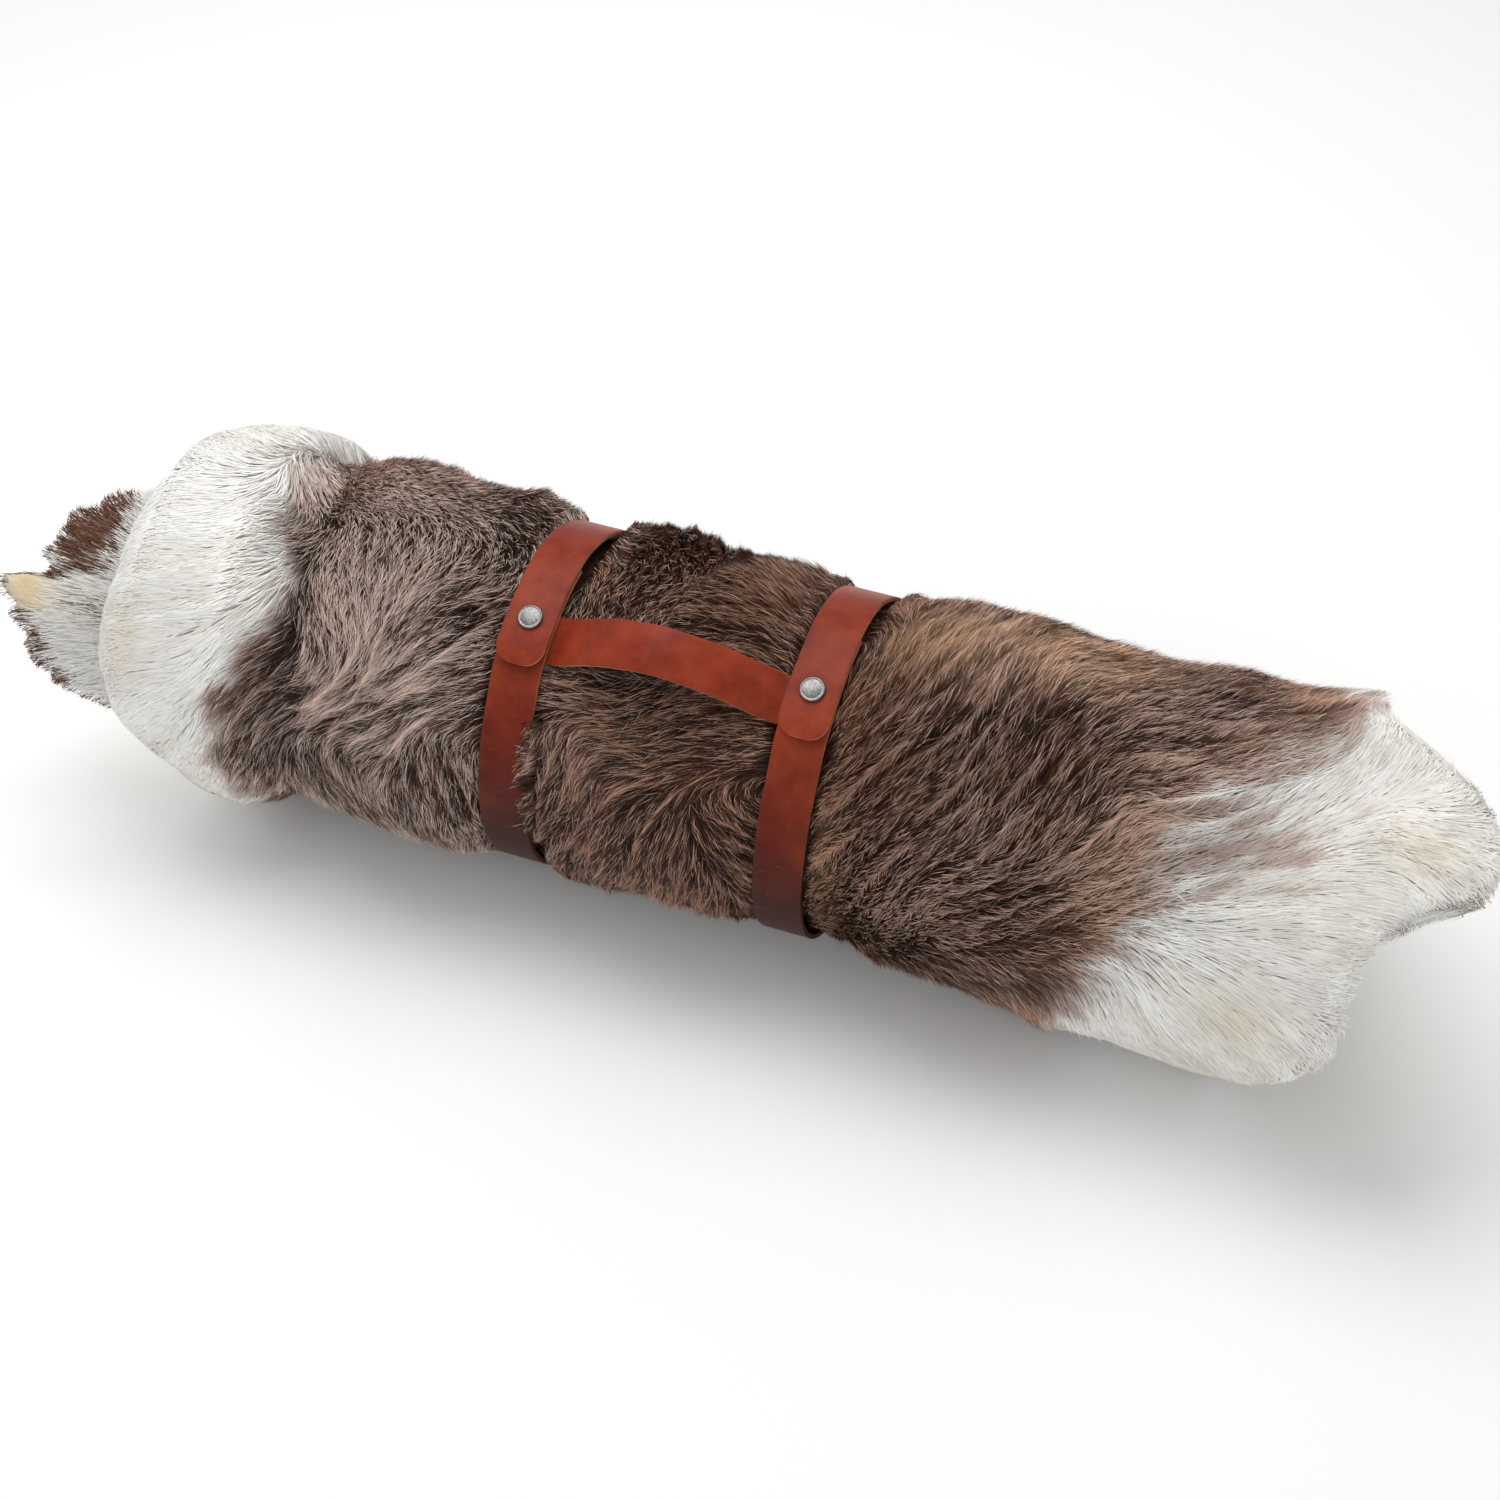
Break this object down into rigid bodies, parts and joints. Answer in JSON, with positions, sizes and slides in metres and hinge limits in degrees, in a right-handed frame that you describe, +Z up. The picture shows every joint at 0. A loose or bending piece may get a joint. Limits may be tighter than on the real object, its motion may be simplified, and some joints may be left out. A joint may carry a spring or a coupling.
{
  "type": "rolled reindeer hide in a leather carrier",
  "caption": "Reindeer hide rolled hair side out, white at both ends, held by two snapped leather straps with a leather carrying handle between them.",
  "frame": {"origin": "on the floor under the middle of the overall box", "axes": "+X along the roll towards its flared white end with the tongue, -Y the front, where the straps' tabs close, +Z up"},
  "size_m": [0.9108, 0.262, 0.2427],
  "materials": {
    "hide_fur": "long hair, brown with white ends",
    "carrier_leather": "satin",
    "snap_metal": "dull nickel"
  },
  "bodies": {
    "root": {"hide_roll": "hide_fur", "hide_inner_flap": "hide_fur", "strap_left": "carrier_leather", "strap_right": "carrier_leather", "handle": "carrier_leather", "snap_left": "snap_metal", "snap_right": "snap_metal"}
  },
  "joints": []
}
